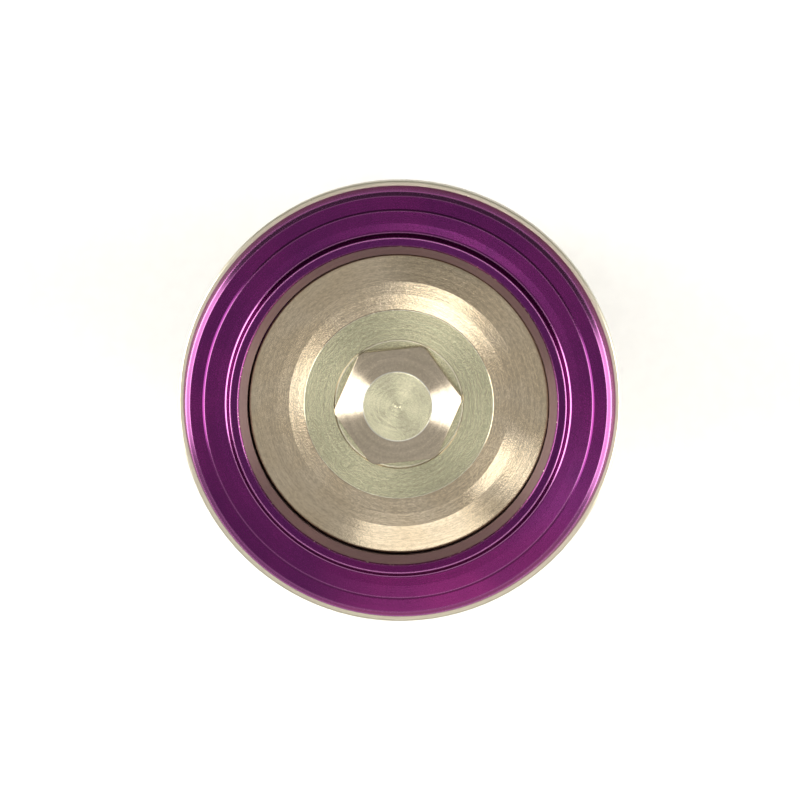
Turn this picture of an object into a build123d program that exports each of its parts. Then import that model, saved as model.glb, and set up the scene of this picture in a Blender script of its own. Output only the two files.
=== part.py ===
from build123d import *

import os
from math import cos, radians, tan

# Pop-up sprinkler: a nickel-plated brass housing with a screwed, purple anodised cap ring, and a
# spring-returned riser whose round head carries an adjustable annular nozzle.
#
# Millimetres, +Z up. The origin is the centre of the inlet's bottom face, on the axis that every
# turned piece shares. The model is at rest: riser down, throttle fully open.

# ---------------------------------------------------------------- fits and clearances
running_gap = 0.05  # radial, between a turning or sliding piece and its bore
slip_gap = 0.1  # radial, between pieces that only push together
face_gap = 0.05  # between faces that meet when the riser is down or a ring is clamped
head_gap = 0.18  # radial, head in its pocket
foot_gap = 0.3  # radial, foot in barrel
web_hole_gap = 0.6  # radial, cap's web and upper spring seat round the riser tube
spring_gap = 1.9  # radial, riser tube to spring
counterbore_gap = 0.09  # radial, adjuster's hex in the deflector
pocket_floor_gap = 0.6  # below the nozzle skirt when the riser is down
notch_gap = 0.3  # foot's notches round the guide ribs, at the sides and at the bottom
key_slot_gap = 0.15  # each side of the throttle's keys
key_reach_gap = 0.6  # radial, throttle's keys in the riser tube
o_ring_side_gap = 0.25  # each side of an O-ring in its groove

# ---------------------------------------------------------------- driving dimensions
# Inlet
inlet_thread_radius = 10.48  # G 1/2 pipe thread, major radius
inlet_thread_depth = 12.0
inlet_lead_in = 0.8  # chamfer at the mouth of the thread
inlet_hex_flats = 30.0
inlet_hex_height = 13.0
hex_chamfer_angle = 30.0
base_pad_inset = 0.6  # pad radius below half the hex's width over flats
base_pad_height = 1.5
neck_inset = 0.4
neck_length = 0.8
shoulder_height = 5.0  # from the top of the inlet hex to the full barrel
shoulder_round = 3.0
screen_pocket_inset = 1.08  # below the thread's radius
screen_pocket_depth = 2.2
screen_thickness = 1.1
screen_hole_radius = 0.85
screen_hole_pitch = 2.4  # between the rings of holes, which hold 6, 12 and 18
screen_ring_thickness = 0.75
screen_ring_width = 1.7
screen_groove_depth = 0.5
waterway_radius = 8.0
waterway_length = 6.0  # from the screen pocket to the barrel's floor
seat_ring_width = 1.4
seat_ring_height = 0.5

# Barrel, collar and flange
barrel_wall = 2.6
floor_round = 1.2
collar_step = 3.6  # the cap's bore in the collar over the barrel's bore
collar_wall = 3.0  # around the cap's thread
collar_shoulder_wall = 2.6  # below the shoulder in the collar
collar_round = 1.0
flange_thickness = 2.8
flange_margin = 0.58  # flange beyond the cap's wall
flange_edge = 0.25
guide_rib_count = 3
guide_rib_width = 2.4
guide_rib_height = 0.8
guide_rib_lift = 1.5  # above the barrel's floor
guide_rib_stop = 1.0  # below the collar's shoulder
flute_count = 24
flute_radius = 1.9
flute_depth = 0.8
flute_margin = 3.2  # plain band left at each end of the flutes

# Riser travel, spring and washers
travel = 50.0
spring_wire = 1.4
spring_coils = 7.5
spring_spare = 2.0  # between solid length and the fully raised riser
washer_thickness = 0.8
washer_margin = 0.9  # lower washer beyond the spring

# Riser tube and foot
tube_radius = 13.0
tube_wall = 1.8
window_count = 6
window_width = 3.6
window_height = 10.0
window_height_above_foot = 7.0
foot_thickness = 4.4
foot_chamfer = 1.0
foot_spigot_height = 4.5
flow_notch_count = 6
flow_notch_radius = 2.4
check_seal_margin = 1.1  # check seal beyond the seat ring
check_seal_thickness = 2.0
seal_washer_radius = 6.2
foot_screw_radius = 2.0
foot_screw_length = 9.2
foot_screw_head_radius = 3.6
foot_screw_head_height = 2.1
foot_screw_head_round = 0.6
screwdriver_slot_width = 0.9
screwdriver_slot_depth = 0.9

# Filter inside the riser
filter_inset = 1.4  # below the tube's bore
filter_wall = 0.6
filter_height = 25.0
filter_flange = 1.2
filter_slot_width = 1.3
filter_slot_height = 4.2
filter_slot_count = 12
filter_slot_rows = 4
filter_margin = 1.2  # below the first row of slots

# Cap ring below its crown
cap_wall_draft = 0.25
cap_wall_height = 3.6
cap_skirt_wall = 2.13  # outside the pocket
thread_relief = 0.5
thread_relief_length = 1.6
skirt_chamfer = 0.8
skirt_overhang = 1.1  # below the circlip
web_thickness = 2.5
recess_wall = 3.3  # outside the wiper recess

# Crown of the cap ring, from its inner edge outwards
cap_edge_break = 0.18
land_width = 1.15
step_width = 0.43
step_drop = 1.6
step_edge_round = 0.12
step_foot_round = 0.45
middle_inner_width = 1.25
middle_inner_slope = 4.0  # degrees, as are the other slopes
middle_outer_width = 1.48
middle_outer_slope = 6.5
fine_step_width = 0.25
fine_step_drop = 0.22
outer_zone_width = 1.54
outer_zone_slope = 8.0
chamfer_width = 0.74
chamfer_angle = 51.0
lip_width = 0.06
lip_drop = 0.02

# Guide bush
bush_wall = 1.0
bush_bevel_drop = 1.05

# Wiper seal and what holds it
wiper_thickness = 3.8
wiper_lip_height = 0.5
wiper_waist = 0.9  # hollow between the two lips
wiper_waist_height = 1.0
upper_washer_thickness = 1.0
circlip_thickness = 1.0
circlip_width = 0.9  # inside the recess
circlip_groove_depth = 0.85
circlip_opening = 40.0  # degrees

# Nozzle seat
nozzle_skirt_wall = 1.8
nozzle_skirt_height = 3.2
nozzle_rim_inset = 1.29  # lip radius below the deflector's
nozzle_rim_height = 1.2
nozzle_flare_start = 1.0  # below the tube's top
nozzle_flare_round = 2.0
throat_lap = 0.5  # raised plug over the throat
throat_round = 0.5
spider_arm_count = 3
spider_arm_width = 2.0
spider_arm_drop = 0.1  # arms below the hub's top
hub_wall = 1.05
hub_height = 1.45

# Deflector
deflector_radius = 18.59
deflector_edge = 1.95
deflector_edge_round = 0.45
deflector_lip_round = 0.2
slot_gap = 1.18
spray_angle = 12.5  # degrees above the horizontal
boss_radius = 11.75
boss_step_drop = 0.12
boss_step_width = 0.05
inner_zone_radius = 13.66
inner_zone_slope = 2.0  # degrees
middle_zone_radius = 15.25
middle_zone_slope = 5.0
rim_zone_slope = 8.5
head_recess = 2.5  # deflector's edge below the cap's top
counterbore_depth = 1.0
spigot_wall = 1.15
spigot_proud = 0.1  # through the hub
neck_height = 0.5  # deflector's, above the hub
neck_round = 0.4

# Adjuster screw, its clip and the throttle
adjuster_flats = 14.0
adjuster_corner_trim = 0.2  # turned off the hex's corners
adjuster_flat_radius = 4.28
adjuster_cone_angle = 20.0
adjuster_grip_height = 1.5  # above the boss
adjuster_angle = 6.2  # degrees, first corner from +X
stem_radius = 2.0
stem_length = 20.5
stem_point = 0.5
stem_groove_depth = 0.4
stem_clip_width = 1.4  # beyond the stem
stem_clip_thickness = 0.6
stem_clip_opening = 70.0  # degrees
throttle_flow_gap = 2.2  # radial, between the plug and its cage
throttle_height = 6.4
throttle_travel = 4.35
throttle_spare = 0.15  # left between the raised plug and the spider
throttle_chamfer = 1.0
throttle_pocket_radius = 4.8
throttle_floor = 2.5
throttle_key_count = 3
throttle_key_width = 1.8
cage_wall = 0.9
cage_height = 15.0
cage_bridge = 1.5  # solid ring above the keyways

# O-rings
cap_o_ring_offset = 2.4  # outside the cap's skirt
cap_o_ring_section = 1.3
nozzle_o_ring_section = 0.9
stem_o_ring_section = 0.9

# ---------------------------------------------------------------- radii that follow
stem_hole_radius = stem_radius + running_gap
spigot_radius = stem_hole_radius + spigot_wall
hub_hole_radius = spigot_radius + running_gap
hub_radius = hub_hole_radius + hub_wall
adjuster_corner_radius = adjuster_flats / 2 / cos(radians(30)) - adjuster_corner_trim
counterbore_radius = adjuster_corner_radius + counterbore_gap
pocket_radius = deflector_radius + head_gap
bush_radius = pocket_radius + bush_wall
land_outer_radius = bush_radius + land_width
step_foot_radius = land_outer_radius + step_width
middle_break_radius = step_foot_radius + middle_inner_width
fine_step_inner_radius = middle_break_radius + middle_outer_width
fine_step_outer_radius = fine_step_inner_radius + fine_step_width
chamfer_inner_radius = fine_step_outer_radius + outer_zone_width
chamfer_outer_radius = chamfer_inner_radius + chamfer_width
lip_radius = chamfer_outer_radius + lip_width
cap_wall_radius = lip_radius + cap_wall_draft
flange_radius = cap_wall_radius + flange_margin
skirt_radius = bush_radius + cap_skirt_wall
recess_radius = skirt_radius - recess_wall
collar_bore_radius = skirt_radius + slip_gap
collar_radius = collar_bore_radius + collar_wall
barrel_bore_radius = collar_bore_radius - collar_step
barrel_radius = barrel_bore_radius + barrel_wall
seat_ring_radius = waterway_radius + seat_ring_width
check_seal_radius = seat_ring_radius + check_seal_margin
screen_pocket_radius = inlet_thread_radius - screen_pocket_inset
base_pad_radius = inlet_hex_flats / 2 - base_pad_inset
tube_bore_radius = tube_radius - tube_wall
tube_fit_radius = tube_bore_radius - slip_gap
cage_bore_radius = tube_fit_radius - cage_wall
throttle_radius = cage_bore_radius - throttle_flow_gap
throat_radius = throttle_radius - throat_lap
spring_radius = tube_radius + spring_gap + spring_wire / 2
nozzle_rim_radius = deflector_radius - nozzle_rim_inset

# ---------------------------------------------------------------- heights that follow
hex_top = base_pad_height + inlet_hex_height
floor_height = inlet_thread_depth + screen_pocket_depth + waterway_length
seat_top = floor_height + seat_ring_height
check_seal_bottom = seat_top + face_gap
seal_washer_top = check_seal_bottom - face_gap
foot_bottom = check_seal_bottom + check_seal_thickness
foot_top = foot_bottom + foot_thickness
lower_washer_top = foot_top + washer_thickness
spring_solid = (spring_coils + 1) * spring_wire
upper_washer_bottom = lower_washer_top + travel + spring_solid + spring_spare
wiper_bottom = upper_washer_bottom + upper_washer_thickness
web_bottom = wiper_bottom + wiper_thickness + face_gap
pocket_floor = web_bottom + web_thickness
nozzle_bottom = pocket_floor + pocket_floor_gap
tube_top = nozzle_bottom + nozzle_skirt_height
hub_top = tube_top + hub_height
spigot_bottom = tube_top - spigot_proud
circlip_top = upper_washer_bottom - face_gap
circlip_bottom = circlip_top - circlip_thickness
skirt_bottom = circlip_bottom - skirt_overhang


def fall(inner, outer, degrees):
    """How far a cone of that slope drops between two radii."""
    return (outer - inner) * tan(radians(degrees))


neck_top = hub_top + face_gap + neck_height
nozzle_lip_height = neck_top + fall(hub_radius, nozzle_rim_radius, spray_angle) - slot_gap
deflector_rim_bottom = nozzle_lip_height + slot_gap + fall(nozzle_rim_radius, deflector_radius, spray_angle)
deflector_rim_top = deflector_rim_bottom + deflector_edge
middle_zone_top = deflector_rim_top + fall(middle_zone_radius, deflector_radius, rim_zone_slope)
inner_zone_bottom = middle_zone_top + fall(inner_zone_radius, middle_zone_radius, middle_zone_slope)
boss_foot = inner_zone_bottom + fall(boss_radius + boss_step_width, inner_zone_radius, inner_zone_slope)
boss_top = boss_foot + boss_step_drop
counterbore_floor = boss_top - counterbore_depth
stem_seal_height = (hub_top + counterbore_floor) / 2

cap_top = deflector_rim_top + head_recess
middle_top = cap_top - step_drop
middle_break = middle_top - fall(step_foot_radius, middle_break_radius, middle_inner_slope)
fine_step_top = middle_break - fall(middle_break_radius, fine_step_inner_radius, middle_outer_slope)
fine_step_bottom = fine_step_top - fine_step_drop
chamfer_top = fine_step_bottom - fall(fine_step_outer_radius, chamfer_inner_radius, outer_zone_slope)
lip_top = chamfer_top - fall(chamfer_inner_radius, chamfer_outer_radius, chamfer_angle)
lip_height = lip_top - lip_drop
flange_top = lip_height - cap_wall_height
flange_bottom = flange_top - flange_thickness
collar_shoulder = skirt_bottom - slip_gap
collar_top_of_taper = collar_shoulder - collar_shoulder_wall
collar_bottom = collar_top_of_taper - abs(collar_radius - barrel_radius)
bush_top = cap_top - cap_edge_break - face_gap


# ---------------------------------------------------------------- helpers
def turned(points, rounds=()):
    """Turns an outline of (radius, height) points about Z. rounds holds (corner number, radius) pairs."""
    face = make_face(Polyline(*points, close=True))
    for corner, radius in rounds:
        nearest = face.vertices().sort_by_distance(Vector(*points[corner]))[0]
        face = fillet(nearest, radius)
    return revolve(Plane.XZ * face, Axis.Z)


def ring(inner, outer, bottom, top):
    """A plain ring, or a disc where inner is 0."""
    return turned([(inner, bottom), (outer, bottom), (outer, top), (inner, top)])


def around(count, shape, start=0.0):
    """Copies of shape, evenly turned about Z."""
    return [Rot(0, 0, start + 360.0 * i / count) * shape for i in range(count)]


def block(inner, outer, width, bottom, top):
    """A bar along +X from one radius to another."""
    middle = Pos((inner + outer) / 2, 0, (bottom + top) / 2)
    return middle * Box(outer - inner, width, top - bottom)


def hexagon(flats, bottom, top, angle=0.0):
    """A hexagonal prism with a corner at angle from +X."""
    sketch = Rot(0, 0, angle) * RegularPolygon(flats / 2, 6, major_radius=False)
    return Pos(0, 0, bottom) * extrude(sketch, top - bottom)


def circlip(inner, outer, bottom, top, opening):
    """A snap ring with a gap centred on +X."""
    reach = 2 * outer
    half = reach * tan(radians(opening / 2))
    wedge = make_face(Polyline((0, 0), (reach, -half), (reach, half), close=True))
    return ring(inner, outer, bottom, top) - Pos(0, 0, bottom) * extrude(wedge, top - bottom)


# ---------------------------------------------------------------- housing
def housing():
    """One casting: inlet hex and thread, barrel, fluted collar and flange."""
    half_flats = inlet_hex_flats / 2
    outside = turned(
        [
            (0, base_pad_height),
            (half_flats - neck_inset, base_pad_height),
            (half_flats - neck_inset, hex_top + neck_length),
            (barrel_radius, hex_top + shoulder_height),
            (barrel_radius, collar_bottom),
            (collar_radius, collar_top_of_taper),
            (collar_radius, flange_bottom),
            (flange_radius, flange_bottom),
            (flange_radius, flange_top),
            (0, flange_top),
        ],
        rounds=((3, shoulder_round), (6, collar_round), (7, flange_edge), (8, flange_edge)),
    )
    seat_width = cap_o_ring_section / 2 + o_ring_side_gap
    o_ring_groove = ring(
        skirt_radius + cap_o_ring_offset - seat_width,
        skirt_radius + cap_o_ring_offset + seat_width,
        flange_top - cap_o_ring_section - face_gap,
        flange_top + 1,
    )
    screen_groove = ring(
        0,
        screen_pocket_radius + screen_groove_depth,
        inlet_thread_depth + face_gap,
        inlet_thread_depth + screen_ring_thickness + 3 * face_gap,
    )
    rib = block(
        barrel_bore_radius - guide_rib_height,
        barrel_bore_radius + barrel_wall / 2,
        guide_rib_width,
        floor_height + guide_rib_lift,
        collar_shoulder - guide_rib_stop,
    )
    body = outside + inlet_hex() - housing_inside() - screen_groove - o_ring_groove - flutes()
    return body + around(guide_rib_count, rib)


def inlet_hex():
    """Wrench hex with chamfered corners, on its round pad."""
    half_flats = inlet_hex_flats / 2
    corner = half_flats / cos(radians(30))
    bevel = fall(half_flats, corner, hex_chamfer_angle)
    chamfered = turned(
        [
            (0, base_pad_height),
            (half_flats, base_pad_height),
            (corner, base_pad_height + bevel),
            (corner, hex_top - bevel),
            (half_flats, hex_top),
            (0, hex_top),
        ]
    )
    pad = ring(0, base_pad_radius, 0, base_pad_height)
    return (hexagon(inlet_hex_flats, base_pad_height, hex_top) & chamfered) + pad


def housing_inside():
    """Thread bore, screen pocket, waterway with its raised seat, barrel bore and collar bore."""
    pocket_top = inlet_thread_depth + screen_pocket_depth
    return turned(
        [
            (0, 0),
            (inlet_thread_radius + inlet_lead_in, 0),
            (inlet_thread_radius, inlet_lead_in),
            (inlet_thread_radius, inlet_thread_depth),
            (screen_pocket_radius, inlet_thread_depth),
            (screen_pocket_radius, pocket_top),
            (waterway_radius, pocket_top),
            (waterway_radius, seat_top),
            (seat_ring_radius, seat_top),
            (seat_ring_radius, floor_height),
            (barrel_bore_radius, floor_height),
            (barrel_bore_radius, collar_shoulder),
            (collar_bore_radius, collar_shoulder),
            (collar_bore_radius, flange_top),
            (0, flange_top),
        ],
        rounds=((10, floor_round),),
    )


def flutes():
    """Upright round-ended grip flutes round the collar."""
    low = collar_top_of_taper + flute_margin
    high = flange_bottom - flute_margin
    centre = collar_radius - flute_depth + flute_radius
    flute = Pos(centre, 0, (low + high) / 2) * Cylinder(flute_radius, high - low)
    for z in (low, high):
        flute += Pos(centre, 0, z) * Sphere(flute_radius)
    return around(flute_count, flute, start=180.0 / flute_count)


def inlet_screen():
    """Perforated strainer disc."""
    top = inlet_thread_depth + screen_pocket_depth - face_gap
    plate = ring(0, screen_pocket_radius - slip_gap, top - screen_thickness, top)
    hole = Pos(0, 0, top - screen_thickness / 2) * Cylinder(screen_hole_radius, 2 * screen_thickness)
    plate -= hole
    for row in (1, 2, 3):
        plate -= around(6 * row, Pos(row * screen_hole_pitch, 0, 0) * hole)
    return plate


def screen_ring():
    """Snap ring that holds the inlet screen."""
    bottom = inlet_thread_depth + 2 * face_gap
    outer = screen_pocket_radius + screen_groove_depth - slip_gap
    return circlip(outer - screen_ring_width, outer, bottom, bottom + screen_ring_thickness, circlip_opening)


# ---------------------------------------------------------------- cap assembly
def cap_ring():
    """The anodised cap: stepped crown outside, pocket, web and wiper recess inside."""
    groove_radius = recess_radius + circlip_groove_depth
    relief_radius = skirt_radius - thread_relief
    relief_bottom = flange_top - thread_relief_length
    wall_bottom = flange_top + face_gap
    web_hole_radius = tube_radius + web_hole_gap
    return turned(
        [
            (bush_radius, pocket_floor),
            (bush_radius, cap_top - cap_edge_break),
            (bush_radius + cap_edge_break, cap_top),
            (land_outer_radius, cap_top),
            (step_foot_radius, middle_top),
            (middle_break_radius, middle_break),
            (fine_step_inner_radius, fine_step_top),
            (fine_step_outer_radius, fine_step_bottom),
            (chamfer_inner_radius, chamfer_top),
            (chamfer_outer_radius, lip_top),
            (lip_radius, lip_height),
            (cap_wall_radius, wall_bottom),
            (relief_radius, wall_bottom),
            (relief_radius, relief_bottom),
            (skirt_radius, relief_bottom - thread_relief),
            (skirt_radius, skirt_bottom + skirt_chamfer),
            (skirt_radius - skirt_chamfer, skirt_bottom),
            (recess_radius, skirt_bottom),
            (recess_radius, circlip_bottom - face_gap),
            (groove_radius, circlip_bottom - face_gap),
            (groove_radius, upper_washer_bottom),
            (recess_radius, upper_washer_bottom),
            (recess_radius, web_bottom),
            (web_hole_radius, web_bottom),
            (web_hole_radius, pocket_floor),
        ],
        rounds=((3, step_edge_round), (4, step_foot_round)),
    )


def guide_bush():
    """Plated sleeve that lines the pocket; its bevel leads the head back into its seat."""
    bottom = pocket_floor + face_gap
    return turned(
        [
            (pocket_radius, bottom),
            (bush_radius, bottom),
            (bush_radius, bush_top),
            (pocket_radius, bush_top - bush_bevel_drop),
        ]
    )


def wiper_seal():
    """Moulded rubber ring whose upper and lower lips wipe the riser tube."""
    top = web_bottom - face_gap
    inner = tube_radius + running_gap
    outer = recess_radius - slip_gap
    middle = (wiper_bottom + top) / 2
    return turned(
        [
            (inner, wiper_bottom),
            (outer, wiper_bottom),
            (outer, top),
            (inner, top),
            (inner, top - wiper_lip_height),
            (inner + wiper_waist, middle + wiper_waist_height / 2),
            (inner + wiper_waist, middle - wiper_waist_height / 2),
            (inner, wiper_bottom + wiper_lip_height),
        ]
    )


def upper_spring_seat():
    """Steel washer between the spring and the wiper seal."""
    outer = recess_radius - slip_gap
    return ring(tube_radius + web_hole_gap, outer, upper_washer_bottom, wiper_bottom - face_gap)


def seat_circlip():
    """Snap ring that keeps the washer and the seal in the cap when it is unscrewed."""
    outer = recess_radius + circlip_groove_depth - slip_gap
    return circlip(recess_radius - circlip_width, outer, circlip_bottom, circlip_top, circlip_opening)


def cap_o_ring():
    """Seals the cap's base on the flange."""
    middle = flange_top - cap_o_ring_section / 2
    return Pos(0, 0, middle) * Torus(skirt_radius + cap_o_ring_offset, cap_o_ring_section / 2)


def retract_spring():
    """Open coil spring between the two spring seats."""
    start = lower_washer_top + face_gap + spring_wire / 2
    rise = upper_washer_bottom - face_gap - spring_wire / 2 - start
    helix = Helix(rise / spring_coils, rise, spring_radius)
    section = Plane(origin=helix @ 0, z_dir=helix % 0) * Circle(spring_wire / 2)
    return Pos(0, 0, start) * sweep(section, path=helix, is_frenet=True)


# ---------------------------------------------------------------- riser
def riser_tube():
    """Tube with round-ended windows that let the water in above the foot."""
    wall_middle = (tube_bore_radius + tube_radius) / 2
    round_end = Rot(0, 90, 0) * Cylinder(window_width / 2, 2 * tube_wall)
    low = foot_top + window_height_above_foot + window_width / 2
    high = low + window_height - window_width
    window = block(wall_middle - tube_wall, wall_middle + tube_wall, window_width, low, high)
    for z in (low, high):
        window += Pos(wall_middle, 0, z) * round_end
    tube = ring(tube_bore_radius, tube_radius, foot_top + face_gap, tube_top - face_gap)
    return tube - around(window_count, window, start=180.0 / window_count)


def riser_foot():
    """Moulded collar: spring seat, keyed guide on the housing's ribs, and spigot into the tube."""
    outer = barrel_bore_radius - foot_gap
    foot = turned(
        [
            (0, foot_bottom),
            (outer - foot_chamfer, foot_bottom),
            (outer, foot_bottom + foot_chamfer),
            (outer, foot_top),
            (tube_fit_radius, foot_top),
            (tube_fit_radius, foot_top + foot_spigot_height),
            (0, foot_top + foot_spigot_height),
        ]
    )
    rib_notch = block(
        barrel_bore_radius - guide_rib_height - notch_gap,
        barrel_bore_radius + notch_gap,
        guide_rib_width + 2 * notch_gap,
        foot_bottom,
        foot_top,
    )
    notch_middle = Pos(barrel_bore_radius, 0, (foot_bottom + foot_top) / 2)
    flow_notch = notch_middle * Cylinder(flow_notch_radius, foot_thickness)
    foot -= around(guide_rib_count, rib_notch)
    foot -= around(flow_notch_count, flow_notch, start=180.0 / flow_notch_count)
    return foot - ring(0, foot_screw_radius + running_gap, foot_bottom, seal_washer_top + foot_screw_length)


def lower_spring_seat():
    """Steel washer under the spring."""
    outer = spring_radius + spring_wire / 2 + washer_margin
    return ring(tube_radius + slip_gap, outer, foot_top + face_gap, lower_washer_top)


def check_seal():
    """Rubber disc that closes the inlet's raised seat when the riser is down."""
    hole = foot_screw_radius + running_gap
    return ring(hole, check_seal_radius, check_seal_bottom, foot_bottom - face_gap)


def seal_washer():
    """Spreads the screw's clamp over the check seal."""
    hole = foot_screw_radius + running_gap
    return ring(hole, seal_washer_radius, seal_washer_top - washer_thickness, seal_washer_top)


def seal_screw():
    """Slotted screw that holds the check seal and its washer to the foot."""
    head_top = seal_washer_top - washer_thickness - face_gap
    head_bottom = head_top - foot_screw_head_height
    tip = head_top + foot_screw_length
    screw = turned(
        [
            (0, head_bottom),
            (foot_screw_head_radius, head_bottom),
            (foot_screw_head_radius, head_top),
            (foot_screw_radius, head_top),
            (foot_screw_radius, tip),
            (0, tip),
        ],
        rounds=((1, foot_screw_head_round),),
    )
    slot = Pos(0, 0, head_bottom) * Box(
        3 * foot_screw_head_radius, screwdriver_slot_width, 2 * screwdriver_slot_depth
    )
    return screw - slot


def filter_screen():
    """Slotted cup that hangs in the tube inside its windows."""
    bottom = foot_top + foot_spigot_height + face_gap
    top = bottom + filter_height
    outer = tube_bore_radius - filter_inset
    inner = outer - filter_wall
    cup = turned(
        [
            (0, bottom),
            (outer, bottom),
            (outer, top),
            (tube_fit_radius, top),
            (tube_fit_radius, top + filter_flange),
            (inner, top + filter_flange),
            (inner, bottom + filter_wall),
            (0, bottom + filter_wall),
        ]
    )
    pitch = (filter_height - filter_margin) / filter_slot_rows
    for row in range(filter_slot_rows):
        low = bottom + filter_margin + row * pitch
        slot = block(inner - filter_wall, outer + filter_wall, filter_slot_width, low, low + filter_slot_height)
        cup -= around(filter_slot_count, slot, start=row % 2 * 180.0 / filter_slot_count)
    return cup


# ---------------------------------------------------------------- head
def nozzle_seat():
    """Flared lower lip of the annular nozzle, with the spider that carries the deflector."""
    skirt_bore = tube_radius + slip_gap
    skirt_outer = tube_radius + nozzle_skirt_wall
    throat_top = nozzle_lip_height - fall(throat_radius, nozzle_rim_radius, spray_angle)
    seat = turned(
        [
            (skirt_bore, nozzle_bottom),
            (skirt_outer, nozzle_bottom),
            (skirt_outer, tube_top - nozzle_flare_start),
            (nozzle_rim_radius, nozzle_lip_height - nozzle_rim_height),
            (nozzle_rim_radius, nozzle_lip_height),
            (throat_radius, throat_top),
            (throat_radius, tube_top),
            (skirt_bore, tube_top),
        ],
        rounds=((2, nozzle_flare_round), (5, throat_round)),
    )
    seat_width = nozzle_o_ring_section / 2 + o_ring_side_gap
    middle = nozzle_bottom + nozzle_skirt_height / 2
    groove_radius = tube_radius + nozzle_o_ring_section + slip_gap
    groove = ring(tube_radius, groove_radius, middle - seat_width, middle + seat_width)
    hub = ring(hub_hole_radius, hub_radius, tube_top, hub_top)
    arm = block(
        (hub_hole_radius + hub_radius) / 2,
        throat_radius + throat_round,
        spider_arm_width,
        tube_top,
        hub_top - spider_arm_drop,
    )
    return seat - groove + hub + around(spider_arm_count, arm, start=90.0)


def nozzle_o_ring():
    """Seals the nozzle seat on the riser tube."""
    radius = tube_radius + face_gap + nozzle_o_ring_section / 2
    return Pos(0, 0, nozzle_bottom + nozzle_skirt_height / 2) * Torus(radius, nozzle_o_ring_section / 2)


def deflector():
    """Round head disc: boss and counterbore above, spray face and neck below."""
    disc = turned(
        [
            (stem_hole_radius, spigot_bottom),
            (spigot_radius, spigot_bottom),
            (spigot_radius, hub_top + face_gap),
            (hub_radius, hub_top + face_gap),
            (hub_radius, neck_top),
            (deflector_radius, deflector_rim_bottom),
            (deflector_radius, deflector_rim_top),
            (middle_zone_radius, middle_zone_top),
            (inner_zone_radius, inner_zone_bottom),
            (boss_radius + boss_step_width, boss_foot),
            (boss_radius, boss_top),
            (counterbore_radius, boss_top),
            (counterbore_radius, counterbore_floor),
            (stem_hole_radius, counterbore_floor),
        ],
        rounds=((4, neck_round), (5, deflector_lip_round), (6, deflector_edge_round)),
    )
    half = stem_o_ring_section / 2 + o_ring_side_gap
    depth = stem_radius + stem_o_ring_section + slip_gap
    return disc - ring(stem_radius, depth, stem_seal_height - half, stem_seal_height + half)


def stem_o_ring():
    """Seals the adjuster's stem in the deflector."""
    section = stem_o_ring_section - face_gap
    return Pos(0, 0, stem_seal_height) * Torus(stem_hole_radius + section / 2, section / 2)


# ---------------------------------------------------------------- adjuster and throttle
def adjuster_screw():
    """Hex-headed screw: the head turns in the deflector's counterbore and drives the throttle."""
    bottom = counterbore_floor + face_gap
    shoulder = boss_top + adjuster_grip_height
    top = shoulder + fall(adjuster_flat_radius, adjuster_corner_radius, adjuster_cone_angle)
    envelope = turned(
        [
            (0, bottom),
            (adjuster_corner_radius, bottom),
            (adjuster_corner_radius, shoulder),
            (adjuster_flat_radius, top),
            (0, top),
        ]
    )
    groove_radius = stem_radius - stem_groove_depth
    groove_top = spigot_bottom - face_gap
    groove_bottom = groove_top - stem_clip_thickness - face_gap
    tip = bottom - stem_length
    stem = turned(
        [
            (0, bottom),
            (stem_radius, bottom),
            (stem_radius, groove_top),
            (groove_radius, groove_top),
            (groove_radius, groove_bottom),
            (stem_radius, groove_bottom),
            (stem_radius, tip + stem_point),
            (stem_radius - stem_point, tip),
            (0, tip),
        ]
    )
    return (hexagon(adjuster_flats, bottom, top, adjuster_angle) & envelope) + stem


def stem_clip():
    """Snap ring that keeps the adjuster in the deflector."""
    top = spigot_bottom - 3 * face_gap / 2
    inner = stem_radius - stem_groove_depth + running_gap
    return circlip(inner, stem_radius + stem_clip_width, top - stem_clip_thickness, top, stem_clip_opening)


def throttle_plug():
    """Keyed nut on the stem that rises to close the nozzle's throat."""
    top = tube_top - throttle_travel - throttle_spare
    bottom = top - throttle_height
    plug = turned(
        [
            (stem_hole_radius, bottom),
            (throttle_radius, bottom),
            (throttle_radius, top - throttle_chamfer),
            (throttle_radius - throttle_chamfer, top),
            (throttle_pocket_radius, top),
            (throttle_pocket_radius, bottom + throttle_floor),
            (stem_hole_radius, bottom + throttle_floor),
        ]
    )
    key_reach = tube_bore_radius - key_reach_gap
    key = block(
        throttle_pocket_radius, key_reach, throttle_key_width, bottom, bottom + throttle_floor
    )
    return plug + around(throttle_key_count, key)


def throttle_cage():
    """Slotted sleeve in the tube that keeps the plug from turning."""
    inner = cage_bore_radius
    bottom = tube_top - cage_height
    sleeve = ring(inner, tube_fit_radius, bottom, tube_top - face_gap)
    keyway = block(
        inner - cage_wall,
        tube_fit_radius + cage_wall,
        throttle_key_width + 2 * key_slot_gap,
        bottom,
        tube_top - cage_bridge,
    )
    return sleeve - around(throttle_key_count, keyway)


pieces = (
    housing,
    inlet_screen,
    screen_ring,
    cap_ring,
    guide_bush,
    wiper_seal,
    upper_spring_seat,
    seat_circlip,
    cap_o_ring,
    retract_spring,
    riser_tube,
    riser_foot,
    lower_spring_seat,
    check_seal,
    seal_washer,
    seal_screw,
    filter_screen,
    nozzle_seat,
    nozzle_o_ring,
    deflector,
    stem_o_ring,
    adjuster_screw,
    stem_clip,
    throttle_plug,
    throttle_cage,
)

os.makedirs("parts", exist_ok=True)
for piece in pieces:
    export_step(piece(), f"parts/{piece.__name__}.step")
print(f"cap top {cap_top:.2f}, flange top {flange_top:.2f}, barrel top {collar_bottom:.2f}")
print(f"spring from {lower_washer_top:.2f} to {upper_washer_bottom:.2f}, boss top {boss_top:.2f}")
print(f"barrel radius {barrel_radius:.2f}, collar radius {collar_radius:.2f}, flange radius {flange_radius:.2f}")
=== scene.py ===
import math

import bmesh
import bpy
from mathutils import Matrix, Vector


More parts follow.
